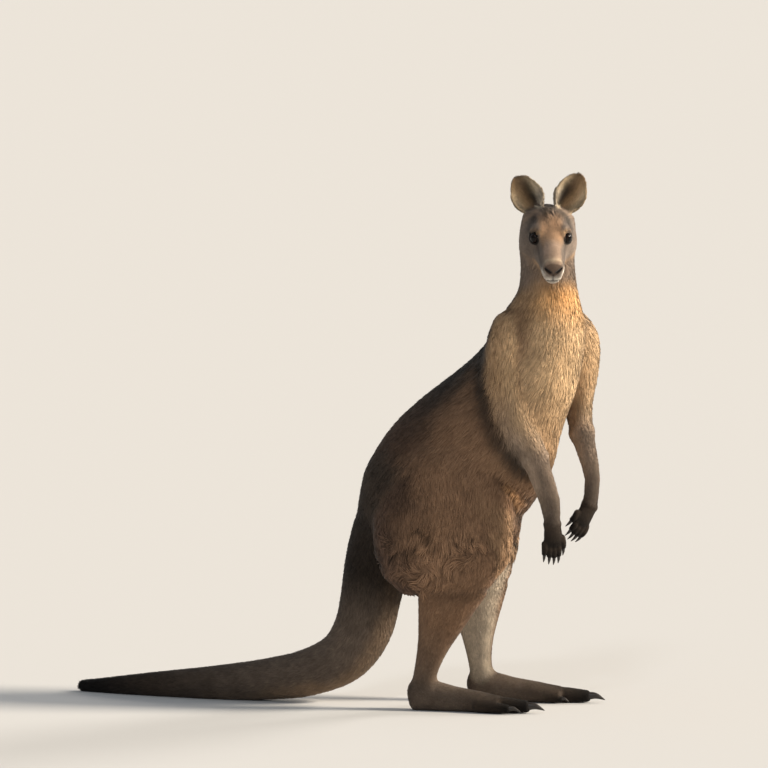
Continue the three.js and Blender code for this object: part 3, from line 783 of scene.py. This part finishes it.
def head_look(points):
    """Colour, hair length, lift, coverage and disorder on the head."""
    h = mirrored(to_head(points))
    x, y, z = h.T
    rough = ripples(points, 14, 3)
    brow_arc = stroke(h, [(16, -40, 44), (36, -30, 28), (44, -12, 12)], 13)
    lips = np.maximum(stroke(h, MOUTH[:3], 11), 0.8 * stroke(h, [(23, 110, -41), (25, 96, -47)], 10))
    from_eye = h - EYE_AT
    lens = almond(from_eye)[0]
    near = lengths(from_eye) < 36
    corner = [EYE_INNER * 12 + EYE_LOOKS * 8, EYE_INNER * 21 + EYE_LOOKS * 4]
    pad = nose_pad(h)
    padding = ease(1.1, 0.98, pad)
    tuft = blob(h, [0, -20, 40], [24, 34, 18])
    colour = layered(
        np.tile(FACE_GREY, (len(h), 1)), (SMOKE, ease(-20, -80, y + 8 * rough)),
        (RUST, 0.85 * ease(34, 20, x + 4 * rough) * ease(-5, 12, z) * ease(-40, 0, y)),
        (BRIDGE, ease(23, 14, x + 2 * rough) * ease(36, 62, y) * ease(-26, -12, z)),
        (EAR_RIM, 0.8 * stroke(h, [(0, 112, -8), (14, 107, -12)], 7)),
        (DUSK, 0.75 * stroke(h, [(30, 34, -8), (25, 66, -22), (22, 100, -28)], 7)),
        (TAN, 0.85 * stroke(h, [(22, 30, 22), (35, 20, 21), (44, 2, 12)], 5)),
        (TAN, 0.7 * ease(-44, -60, z + 4 * rough) * ease(-50, 10, y)),
        (SLATE, np.clip(0.75 + 0.5 * rough, 0, 1) * brow_arc),
        (WHITE, 0.95 * np.clip(1.5 * lips, 0, 1) * (0.3 + 0.7 * ease(-66, -59, z))),
        (BLACK, 0.95 * stroke(h, MOUTH, 3.0) * ease(64, 84, y)),
        (BLACK, 0.8 * stroke(from_eye, corner, 4) * near),
        (BLACK, 0.97 * ease(7.4, 4.6, lens + rough) * near),
        (PAD, padding), (BLACK, padding * np.clip(1.3 * stroke(h, NOSTRIL, 5.5), 0, 1)),
        (BLACK, 0.8 * stroke(h, PHILTRUM, 2.6)), (DUSK, np.clip(0.45 + 0.6 * rough, 0, 1) * tuft))
    cover = ease(1.0, 1.14, pad) * np.where(near, ease(1.0, 2.4, lens), 1)
    cover = cover * np.clip(np.minimum(lines_at(h, MOUTH), lines_at(h, PHILTRUM)) / 2 - 0.8, 0, 1)
    lift = 1.1 + 2.4 * ease(40, -70, y) + 4 * tuft
    return colour, 3.4 + 8.5 * ease(50, -70, y), lift, cover, 0.75 * tuft


def ear_look(points, side, t, phi):
    """The ear's back is grey. Inside, across runs from -1 at the outer rim to 1 at the rim by the crown."""
    inner = (phi > INNER_MARK / 2) * 1.0
    across = -np.sin(phi - INNER_MARK * inner) * side
    rough, speckle = ripples(points, 12, 5), ripples(points, 5, 6)
    back = blend(np.tile(SMOKE, (len(t), 1)), DUSK, 0.5 + 0.5 * rough)
    colour = blend(np.where(inner[:, None] > 0, EAR_BROWN, back), DUSK,
                   0.75 * inner * ease(0.2, 0.7, t) * ease(-0.75, 0.1, across))
    hollow = np.clip(2.2 * bell(across - 0.42, 0.34), 0, 1) * ease(0.78, 0.5, t + 0.1 * rough)
    by_crown = ease(0.68, 0.82, across + 0.1 * rough) * ease(0.95, 0.7, t)
    outer_rim = ease(-0.5, -0.9, across) * ease(0.95, 0.5, t)
    fringe = inner * by_crown * ease(0.6, 0.2, t)
    colour = layered(
        colour * (1 + 0.45 * inner * speckle)[:, None], (EAR_DARK, inner * hollow),
        (EAR_DARK, 0.8 * inner * bell(across - 0.66, 0.10) * ease(0.97, 0.8, t)),
        (EAR_RIM, inner * np.maximum(by_crown, 0.8 * outer_rim)), (DUSK, 0.8 * ease(0.92, 0.99, t)),
        (WHITE, np.clip(0.5 + 0.4 * speckle, 0, 1) * fringe))
    length = 5.5 + inner * (4 * outer_rim + 3 * by_crown) + 7 * fringe
    ruffle = inner * np.maximum(0.9 * fringe, 0.25 * ease(0.9, 0.7, t))
    return colour, length, 1.4 + 6 * fringe, np.ones(len(t)), ruffle


# The first tones of each kind of form, and the length and lift of its hair, from its start (0) to its end (1)
DARK_PAW = [(0, DUSK), (1, BLACK)]
TONES = {
    "trunk": [(0, FLANK), (0.6, FLANK), (0.78, TAN), (0.93, SMOKE), (1, FACE_GREY)],
    # The tail's root is painted near black, as painted shade where it meets the rump and legs.
    "tail": [(0, DUSK * 0.8), (0.1, DUSK * 0.5), (0.19, DUSK * 0.42), (0.31, SMOKE), (0.4, SMOKE * 1.1),
             (0.6, SMOKE), (0.8, DUSK), (0.92, BLACK)],
    "thigh": [(0, FLANK)], "shank": [(0, FLANK), (0.5, FLANK), (1, SMOKE)],
    "foot": [(0, SMOKE), (0.5, SMOKE), (1, DUSK)], "toe": DARK_PAW, "palm": DARK_PAW, "finger": DARK_PAW,
    "upper": [(0, TAN), (0.4, TAN), (0.75, ARM)],
    "forearm": [(0, ARM * 1.1), (0.4, ARM * 1.15), (0.78, SMOKE * 1.1), (1, DUSK)],
}
# The back's tones are darkest at the rump: partly the back's own dark grey, partly painted shade.
BACK_TONES = [(0, DUSK * 0.9), (0.2, DUSK * 0.9), (0.24, BACK * 0.9), (0.4, SLATE * 0.58), (0.6, SLATE * 0.6),
              (0.75, SLATE * 0.8), (0.9, DUSK), (1, SMOKE)]
FRONT_TONES = [(0, BUFF * 0.7), (0.15, FLANK), (0.3, FLANK), (0.44, TAN), (0.56, CHEST), (0.68, CHEST),
               (0.76, THROAT)]
HAIR = {
    "trunk": [(0, (22, 6)), (0.3, (26, 5.5)), (0.6, (27, 5)), (0.8, (21, 5)), (1, (13, 4.5))],
    "tail": [(0, (20, 6)), (0.5, (14, 4.5)), (1, (16, 4))],
    "thigh": [(0, (23, 6))], "shank": [(0, (18, 5)), (0.5, (12, 3.5)), (1, (6, 2))],
    "foot": [(0, (7, 1.8)), (1, (5, 1.8))], "toe": [(0, (4.5, 1.3))],
    "palm": [(0, (5, 1.4))], "finger": [(0, (3.5, 1.4))],
    "upper": [(0, (27, 6)), (0.4, (25, 5.5)), (1, (14, 4))], "forearm": [(0, (14, 4)), (1, (7, 2))],
}


def body_look(points, name, t, phi):
    """Colour, hair length, lift, coverage and disorder on trunk, tail and limbs."""
    kind = name.split("_")[0]
    rough = ripples(points, 45, 1) * 0.7 + ripples(points, 16, 2) * 0.5
    streak = ripples(points * [1, 1, 0.22], 20, 4)
    over, z = np.sin(phi), points[:, 2]
    ragged = over + 0.2 * rough
    outward = np.cos(phi) * (1 if name.endswith("left") else -1)
    colour, (length, lift) = stops(t, *TONES[kind]), stops(t, *HAIR[kind]).T
    cover, ruffle = np.ones(len(t)), np.zeros(len(t))
    if kind == "trunk":
        colour = layered(colour, (stops(t, *BACK_TONES), ease(-0.05, 0.7, over + 0.16 * rough)),
                         (stops(t, *FRONT_TONES), ease(-0.3, -0.9, over + 0.12 * rough)))
        colour = colour * (1 + 0.13 * streak * ease(0.45, 0.6, t))[:, None]
        nape = ease(-0.2, 0.5, over)
        colour = blend(colour, FACE_GREY, 0.92 * ease(1004 - 75 * nape, 1052 + 20 * nape, z + 10 * rough))
    elif kind == "tail":
        colour = blend(colour, TAN, 0.4 * ease(-0.3, -0.9, ragged) * bell(t - 0.45, 0.18))
    elif kind == "thigh":
        colour = layered(colour, (BACK, ease(0.1, 0.85, ragged)),
                         (TAN, 0.4 * ease(-0.6, -0.98, ragged)))
        # Painted shade: the thighs' inner sides are darkened.
        colour = colour * (1 - 0.28 * ease(0.15, -0.1, outward))[:, None]
        colour = blend(colour, PALE, 0.9 * ease(0.3, 0.8, 0.15 * rough - outward))
        ruffle = ease(470, 390, z) * ease(262, 286, z)
    elif kind == "shank":
        # Painted shade: a dark band on the shank just below the thigh's hem.
        colour = colour * (1 - 0.35 * bell(z - THIGH_HEM + 8, 13))[:, None]
        colour = blend(colour, PALE, 0.85 * ease(0.0, 0.7, 0.15 * rough - outward))
    elif kind in ("foot", "toe"):
        cover = ease(2, 6 if kind == "foot" else 5, z)
    elif kind == "upper":
        # The rear of the upper arm is darkened to slate: partly the back's own grey, partly painted shade
        # along its rear edge.
        colour = layered(colour, (CHEST, 0.6 * ease(0.2, 0.9, 0.2 * rough - over) * ease(1.0, 0.6, t)),
                         (SLATE, 0.9 * ease(0.1, 0.75, ragged) * ease(1.0, 0.7, t)))
        colour = colour * (1 + 0.10 * streak * ease(1.0, 0.8, t))[:, None]
    elif kind == "forearm":
        colour = blend(colour, FACE_GREY * 0.5, 0.6 * ease(-0.45, -0.9, over))
    return colour, length, lift, cover, ruffle


def look(points, owner, t, phi):
    """The looks of all the points, each from the form that it belongs to, with painted shade behind the upper
    arms and a painted highlight on the ridge between the flank folds.
    """
    colour = np.zeros((len(points), 3))
    rest = np.ones((4, len(points)))
    for number, form in enumerate(FORMS):
        mine = np.flatnonzero(owner == number)
        if not len(mine):
            continue
        p, tt, ff = points[mine], t[mine], phi[mine]
        if form is SKULL:
            found = head_look(p)
        elif isinstance(form, Ear):
            found = ear_look(p, form.side, tt, ff)
        else:
            found = body_look(p, form.name, tt, ff)
        colour[mine] = found[0]
        rest[:, mine] = np.stack(found[1:])
    # Painted shade: a dark band on the trunk along the rear edge of each upper arm, in the crease between
    # them.
    for form in (form for form in FORMS if form.name.startswith("upper_arm")):
        near, gap, _, phi_arm, _ = form.measure(points)
        crease_and_painted_shade = bell(gap - 13, 19) * ease(-0.1, 0.5, np.sin(phi_arm)) * (gap > 0)
        crease_and_painted_shade = crease_and_painted_shade * (owner[near] == NAMES.index("trunk"))
        colour[near] = blend(colour[near], SLATE * 0.35, 0.95 * crease_and_painted_shade)
    # Painted highlight: the ridge between the folds of the flanks is made brighter.
    ridge_highlight = stroke(points[:, 1:], RIDGE, 9) * (np.abs(points[:, 0]) > OUTER)
    return colour + RIDGE_HIGHLIGHT * ridge_highlight[:, None], rest


points = vertices(skin.data)
_, owner, t_at, phi_at, way = survey(points, True)
colour, (length, lift, cover, ruffle) = look(points, owner, t_at, phi_at)
body_part = ~on_face(points)
table = np.column_stack([colour, length, lift, way, ruffle])
table = np.where(body_part[:, None], smooth_over(table, 10), table)
colour, length, lift, way, ruffle = table[:, :3], table[:, 3], table[:, 4], table[:, 5:8], table[:, 8]
length, lift = length + 10 * ruffle, lift + 3.5 * ruffle


def paint(mesh, name, values):
    layer = mesh.color_attributes.new(name, "FLOAT_COLOR", "POINT")
    layer.data.foreach_set("color", np.column_stack([values, np.ones(len(values))]).ravel())


# The skin is painted darker than its hair, and darker still in the folds of the flanks as painted shade.
paint(skin.data, "Coat", colour * (0.86 - 0.6 * folded(points))[:, None])

# ---- the coat
# Whorls in the hair of the thighs: y, z and width
WHORLS = [(106, 416, 30), (-91, 392, 28), (150, 358, 26), (30, 345, 34)]
TUFTS = 340000
SEED_EVERY, GATHER = 9, 0.34     # every ninth tuft draws the tips near it this far towards its own
CHART_EDGE, CHART_PATCH = 0.004, 0.0015
skin.data.calc_loop_triangles()
triangles = read(skin.data.loop_triangles, "vertices", int)
normal = read(skin.data.vertices, "normal")
normal = np.where(folded(points)[:, None] > 0.01, smooth_over(normal, 14), normal)
corners = points[triangles]
area = lengths(np.cross(corners[:, 1] - corners[:, 0], corners[:, 2] - corners[:, 0])) / 2
want = cover / np.maximum(length, 4) ** 1.35
want[(normal[:, 2] < -0.5) & (points[:, 2] < 2.5)] = 0
share = np.cumsum(area * want[triangles].mean(1))
pick = np.searchsorted(share, (np.arange(TUFTS) + RNG.random(TUFTS)) / TUFTS * share[-1])
pick = np.minimum(pick, len(triangles) - 1)
a, b = RNG.random((2, TUFTS))
a, b = 1 - np.sqrt(a), np.sqrt(a) * b
weights = np.stack([a, b, 1 - a - b], 1)


def at_roots(values):
    return (values[triangles[pick]] * (weights[..., None] if values.ndim == 2 else weights)).sum(1)


def units(v):
    return v / np.maximum(np.linalg.norm(v, axis=1, keepdims=True), 1e-9)


roots = at_roots(points)
out = units(at_roots(normal))
ruffled = at_roots(ruffle)
stray = (0.15 + 0.55 * ruffled)[:, None]
lie = at_roots(units(way)) + stray * np.stack([ripples(roots, 42, s) for s in (11, 12, 13)], 1)
lie += RNG.normal(size=(TUFTS, 3)) * 0.09
whorl = np.zeros(TUFTS)
for y, z, wide in WHORLS:
    apart = roots[:, 1:] - [y, z]
    turned_share = ruffled * bell(lengths(apart), wide)
    swirl = units(np.column_stack([np.zeros(TUFTS), -apart[:, 1], apart[:, 0]]))
    lie += (1.6 * swirl - lie) * turned_share[:, None]
    whorl += turned_share
lie = units(lie - out * (lie * out).sum(1, keepdims=True))
# In the folds of the flanks the tufts are shorter and lie flatter, and are darkened below as painted shade.
crease_and_painted_shade = folded(roots)
long = at_roots(length) * RNG.uniform(0.7, 1.2, TUFTS) * (1 - 0.5 * crease_and_painted_shade)
high = at_roots(lift) * RNG.uniform(0.45, 1.15, TUFTS) * (1 - 0.6 * crease_and_painted_shade)
tips = roots + lie * long[:, None]
field = survey(tips)
tips += out * np.clip(high - field, -0.6 * long, 0.8 * long)[:, None]
seeds = np.arange(0, TUFTS, SEED_EVERY)
tree = kdtree.KDTree(len(seeds))
for i, k in enumerate(seeds):
    tree.insert(roots[k], i)
tree.balance()
leader = seeds[[tree.find(r)[1] for r in roots]]
gather = GATHER * ease(5, 18, long) * (lengths(tips[leader] - tips) < 1.2 * long)
tips += (tips[leader] - tips) * gather[:, None]
middle = roots + (tips - roots) * 0.42
field = survey(middle)
middle += out * np.clip(0.55 * high - field, 0, 0.4 * long)[:, None]
half = (0.032 * long + 0.14)[:, None]
side = units(np.cross(out, tips - roots) + RNG.normal(size=(TUFTS, 3)) * 0.25 * long[:, None])
shape = np.stack([roots - out * 0.8, middle + side * half, middle - side * half, tips], 1)
shape[..., 2] = np.maximum(shape[..., 2], 0.05)
shade = RNG.normal(size=TUFTS)
shade = 0.05 * shade + (0.075 + 0.15 * ruffled) * shade[leader]
# Painted shade: tufts along the partings in the thighs' hair, and tufts in the folds of the flanks, are
# darkened.
flat = roots[:, 1:]
parting_shade = np.max([stroke(flat, line, 5) - 0.6 * stroke(flat + [0, 11], line, 6) for line in PARTINGS], 0)
shade -= 0.6 * parting_shade * ease(0, 0.2, ruffled) * (np.abs(roots[:, 0]) > OUTER) + 0.6 * crease_and_painted_shade
tint = at_roots(colour) * np.clip(1 + shade, 0.2, 1.7)[:, None]
tip_tone = 1.14 + 0.28 * ruffled + 0.35 * whorl
leaning = np.stack([out, units(out + 0.55 * side), units(out - 0.55 * side), units(out + 0.3 * lie)], 1)
_, owners, chart_t, chart_phi, _ = survey(roots, True)
chart = np.stack([chart_t, chart_phi], 1)


class Finish:
    """A material of nodes. An input is named _3 by its number, or Base_Color by its name."""

    def __init__(self, name):
        self.material = bpy.data.materials.new(name)
        self.material.use_nodes = True
        self.tree = self.material.node_tree
        self.shader = self.tree.nodes["Principled BSDF"]

    def feed(self, made, **inputs):
        for key, value in inputs.items():
            socket = made.inputs[int(key[1:]) if key[0] == "_" else key.replace("_", " ")]
            if isinstance(value, bpy.types.NodeSocket):
                self.tree.links.new(value, socket)
            else:
                socket.default_value = value

    def node(self, kind, setting=None, output=0, **inputs):
        made = self.tree.nodes.new("ShaderNode" + kind)
        if setting:
            setattr(made, *setting)
        self.feed(made, **inputs)
        return made.outputs[output]

    def noise(self, scale, detail):
        place = self.node("TexCoord", output="Object")
        return self.node("TexNoise", output="Fac", Vector=place, Scale=scale, Detail=detail)

    def spread(self, value, low, high, start, end):
        """Takes the range from low to high to the one from start to end."""
        return self.node("MapRange", Value=value, _1=low, _2=high, _3=start, _4=end)

    def painted(self, share):
        """The colour of the mesh itself, times a share."""
        own = self.node("Attribute", ("attribute_name", "Coat"), "Color")
        return self.node("VectorMath", ("operation", "MULTIPLY"), _0=own, _1=share)


def furry(name, grain):
    finish = Finish(name)
    fine = finish.noise(grain, 3.0)
    broad = finish.noise(24.0, 2.0)
    both = finish.node("Math", ("operation", "MULTIPLY"), _0=finish.spread(fine, 0.25, 0.75, 0.8, 1.2),
                       _1=finish.spread(broad, 0.3, 0.7, 0.86, 1.14))
    finish.feed(finish.shader, Base_Color=finish.painted(both),
                Roughness=finish.spread(fine, 0.3, 0.7, 0.72, 0.9),
                Specular_IOR_Level=0.16, Sheen_Weight=0.12)
    return finish, fine


coat_finish, _ = furry("coat", 900.0)
skin_finish, grain = furry("skin", 700.0)
relief = skin_finish.node("Bump", Height=grain, Strength=0.6, Distance=0.0015)
skin_finish.feed(skin_finish.shader, Normal=relief)
skin.data.materials.append(skin_finish.material)
MOST = 46000                     # tufts to a piece


def group_of(name):
    side = "_left" if name.endswith("left") else "_right"
    if name.startswith(("thigh", "shank", "foot", "toe")):
        return "leg" + side
    if name.startswith(("upper", "fore", "palm", "finger")):
        return "arm" + side
    return "head" if name.startswith(("head", "ear")) else name


def coat_piece(name, chosen):
    count = len(chosen)
    mesh = bpy.data.meshes.new(name)
    mesh.vertices.add(count * 4)
    mesh.vertices.foreach_set("co", metres(shape[chosen].reshape(-1, 3)).ravel())
    corner = np.array([[0, 2, 1], [3, 1, 2], [0, 1, 3], [0, 3, 2]])
    loops = (np.arange(count)[:, None, None] * 4 + corner).reshape(-1)
    mesh.loops.add(len(loops))
    mesh.loops.foreach_set("vertex_index", loops)
    mesh.polygons.add(count * 4)
    mesh.polygons.foreach_set("loop_start", np.arange(count * 4) * 3)
    mesh.polygons.foreach_set("use_smooth", np.ones(count * 4, bool))
    tones = np.tile([0.8, 0.97, 0.97, 1.0], (count, 1))
    tones[:, 3] = tip_tone[chosen]
    paint(mesh, "Coat", (tint[chosen][:, None, :] * tones[:, :, None]).reshape(-1, 3))
    spots = chart[chosen]
    for form in set(owners[chosen]):
        mine = owners[chosen] == form
        spots[mine, 0] += form
    low, high = spots.min(0), spots.max(0)
    spots = CHART_EDGE + (1 - 2 * CHART_EDGE) * (spots - low) / np.maximum(high - low, 1e-6)
    patch = np.array([[0, -1], [-1, 0], [1, 0], [0, 1]]) * CHART_PATCH
    where = (spots[:, None] + patch).reshape(-1, 2)
    mesh.uv_layers.new(name="OFBake").data.foreach_set("uv", where[loops].ravel())
    mesh.update()
    mesh.normals_split_custom_set_from_vertices(leaning[chosen].reshape(-1, 3).tolist())
    obj = put(name, mesh)
    mesh.materials.append(coat_finish.material)
    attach(obj, "root")


groups = {}
for number, form in enumerate(FORMS):
    groups.setdefault(group_of(form.name), []).append(number)
for name, members in groups.items():
    chosen = np.flatnonzero(np.isin(owners, members))
    chosen = chosen[np.lexsort((chart[chosen, 0], owners[chosen]))]
    for i, part in enumerate(np.array_split(chosen, ceil(len(chosen) / MOST))):
        coat_piece(f"coat_{name}_{i + 1}", part)

# ---- eyes and claws
eye = Finish("eye")
streak = eye.noise(700.0, 3.0)
eye.feed(eye.shader, Base_Color=eye.painted(eye.spread(streak, 0.3, 0.7, 0.6, 1.4)),
         Roughness=eye.spread(streak, 0.3, 0.7, 0.04, 0.09),
         Specular_IOR_Level=0.1, Coat_Weight=0.12, Coat_Roughness=0.03)
horn = Finish("claw")
streak = horn.noise(420.0, 4.0)
shell = horn.node("Mix", ("data_type", "RGBA"), 2, Factor=streak,
                  _6=(*linear(16, 14, 13), 1), _7=(*linear(54, 47, 42), 1))
horn.feed(horn.shader, Base_Color=shell, Roughness=horn.spread(streak, 0.3, 0.7, 0.3, 0.5),
          Normal=horn.node("Bump", Height=streak, Strength=0.3, Distance=0.0006))

IRIS = [(0, BLACK * 0.3), (0.46, BLACK * 0.3), (0.52, linear(34, 20, 13)), (0.8, linear(22, 14, 10)),
        (0.9, linear(12, 8, 6)), (pi, linear(22, 15, 12))]
for name, side in (("right", -1), ("left", 1)):
    rings, sides = 40, 48
    mirror = np.array([side, 1, 1])
    axis, inner, over = (unit(v * mirror @ HEAD_AXES) for v in (EYE_LOOKS, EYE_INNER, EYE_OVER))
    centre = in_head(np.array(EYE_AT) * mirror)
    turn = np.linspace(0, pi, rings + 1)[1:-1]
    around = np.arange(sides) * 2 * pi / sides
    bulge = EYE_RADIUS * (1 + 0.05 * ease(0.85, 0.5, turn))
    ball = [centre + axis * EYE_RADIUS * 1.05]
    for angle, r in zip(turn, bulge):
        ring = np.outer(np.cos(around), inner) + np.outer(np.sin(around), over)
        ball.extend(centre + axis * cos(angle) * r + ring * sin(angle) * r)
    ball.append(centre - axis * EYE_RADIUS)
    last = len(ball) - 1
    faces = []
    for k in range(sides):
        n = (k + 1) % sides
        faces.append((0, 1 + k, 1 + n))
        faces.append((last, last - sides + n, last - sides + k))
        for r in range(rings - 2):
            s = 1 + r * sides
            faces.append((s + k, s + sides + k, s + sides + n, s + n))
    eyeball = new_mesh("eyeball_" + name, np.array(ball), faces)
    angle = np.concatenate([[0], np.repeat(turn, sides), [pi]])
    paint(eyeball.data, "Coat", stops(angle, *IRIS))
    eyeball.data.materials.append(eye.material)
    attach(eyeball, "root")
    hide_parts("eye_" + name)

claw_nodes = [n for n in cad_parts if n.startswith("claw")]
for paw, mine in CLAWS.items():
    side, kind = paw.split("_")
    lofts = [Form("claw", rows, hint, (2, rows[-1][3]), (0, 0), 1, step=6).loft(14) for rows, hint in mine]
    claws = new_mesh("claws_" + paw, *join(lofts))
    claws.data.materials.append(horn.material)
    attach(claws, "root")
    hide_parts(*[n for n in claw_nodes if side in n and ("hand" in n) == (kind == "hand")])

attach(skin, "root")
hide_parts(*[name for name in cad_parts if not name.startswith(("eye", "claw"))])

# ---- floor and light
FLOOR_RADIUS = 500.0             # so wide that its edge stays above the photograph's frame
WORLD_STRENGTH = 0.29
scene = bpy.context.scene
scene.view_settings.view_transform = "Standard"
ring = [(FLOOR_RADIUS * cos(a), FLOOR_RADIUS * sin(a), 0)
        for a in np.linspace(0, 2 * pi, 96, endpoint=False)]
floor_mesh = bpy.data.meshes.new("floor")
floor_mesh.from_pydata(ring, [], [tuple(range(96))])
floor = put("floor", floor_mesh)
floor.location.z = -0.0005
pale = Finish("floor")
pale.feed(pale.shader, Base_Color=(0.6, 0.6, 0.6, 1), Roughness=1.0, Specular_IOR_Level=0.0)
floor_mesh.materials.append(pale.material)
world = bpy.data.worlds.new("studio")
world.use_nodes = True
sky = world.node_tree.nodes["Background"].inputs
sky["Color"].default_value, sky["Strength"].default_value = (0.92, 0.96, 1.0, 1), WORLD_STRENGTH
scene.world = world


def lamp(name, turn, height, strength, spread, tone):
    """A broad soft sun, turned from the picture's right towards the camera, at a height over the floor."""
    light = bpy.data.lights.new(name, "SUN")
    light.energy, light.angle, light.color = strength, radians(spread), tone
    obj = put(name, light)
    flat = Vector((away.x, away.y, 0)).normalized()
    turn, height = radians(turn), radians(height)
    source = (right * cos(turn) + flat * sin(turn)) * cos(height)
    source += Vector((0, 0, sin(height)))
    obj.rotation_euler = source.to_track_quat("Z", "Y").to_euler()
    obj.location = source * 5


lamp("key", 8, 27, 5.8, 12, (1.0, 0.88, 0.72))
lamp("fill", 100, 42, 0.35, 8, (0.9, 0.95, 1.0))
lamp("rim", -38, 22, 1.9, 20, (1.0, 0.93, 0.84))
